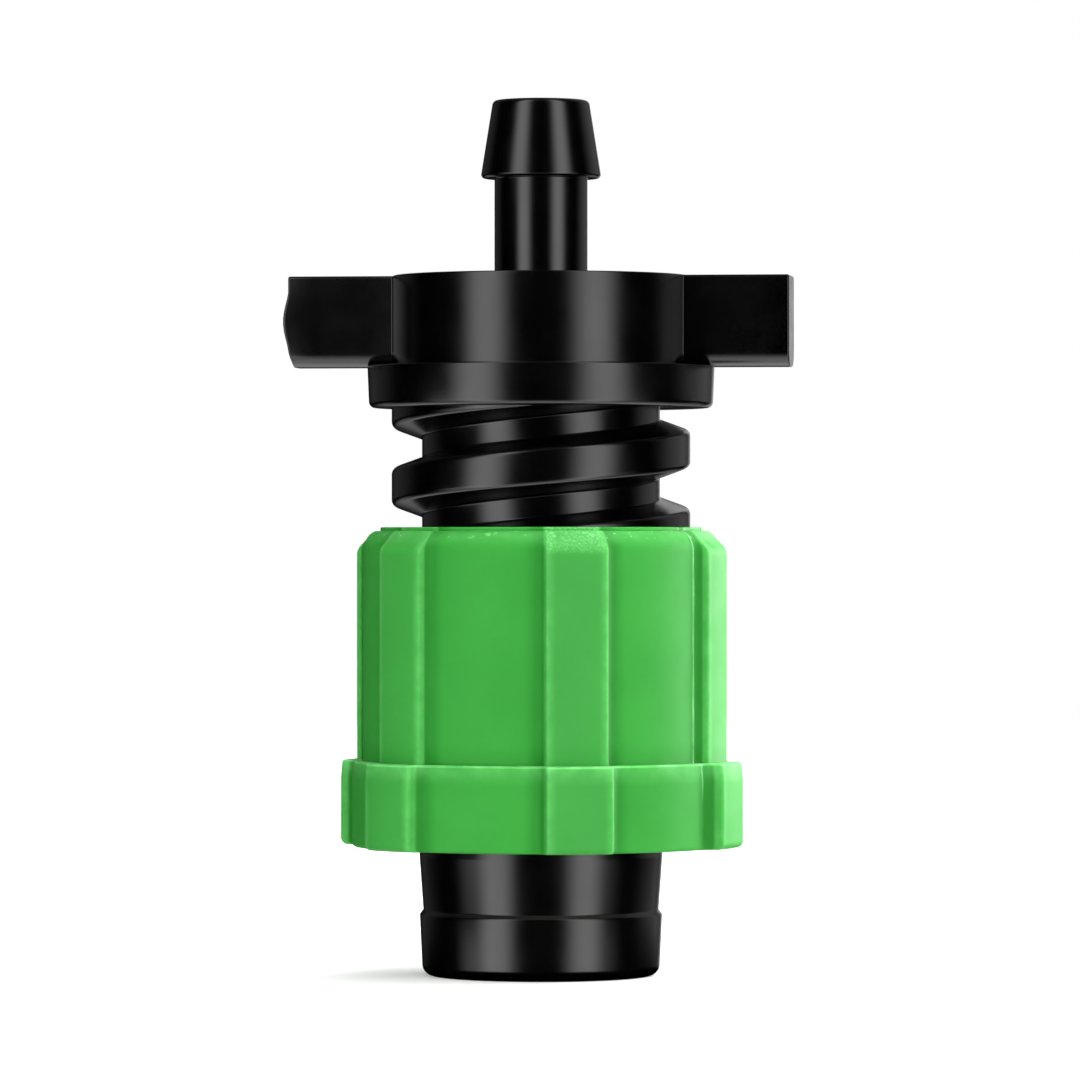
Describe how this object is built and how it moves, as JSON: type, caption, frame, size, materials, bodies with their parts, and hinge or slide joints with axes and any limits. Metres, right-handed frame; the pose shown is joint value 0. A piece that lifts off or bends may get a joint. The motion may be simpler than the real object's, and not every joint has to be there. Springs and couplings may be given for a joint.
{
  "type": "drip tape start connector",
  "caption": "Barbed hose nozzle on a winged, threaded body, with a ribbed lock nut that screws down and clamps thin-walled drip tape on a tapered spigot.",
  "frame": {"origin": "centre of the spigot's end face, on the bore axis", "axes": "+Z along the bore from the spigot to the barbed nozzle, X along the two wings, with the gate swelling on the wing at -X"},
  "size_m": [0.0339, 0.027, 0.0583],
  "materials": {
    "black_plastic": "black polypropylene, moulded, satin gloss",
    "green_plastic": "green polypropylene, waxy and slightly translucent, faint moulding texture",
    "natural_plastic": "undyed polypropylene, milky"
  },
  "bodies": {
    "fitting": {"connector_body": "black_plastic"},
    "ring": {"clamp_ring": "natural_plastic"},
    "nut": {"lock_nut": "green_plastic"}
  },
  "joints": [
    {"name": "nut_travel", "type": "slide", "parent": "fitting", "child": "ring", "axis": [0, 0, 1], "range_m": [-0.00785, 0.00785]},
    {"name": "nut_turn", "type": "hinge", "parent": "ring", "child": "nut", "pos_m": [0, 0, 0.019], "axis": [0, 0, 1], "range_deg": [-540, 540]}
  ],
  "couplings": [
    {"joint": "nut_travel", "follows": "nut_turn", "m_per_rad": 0.00082761}
  ]
}
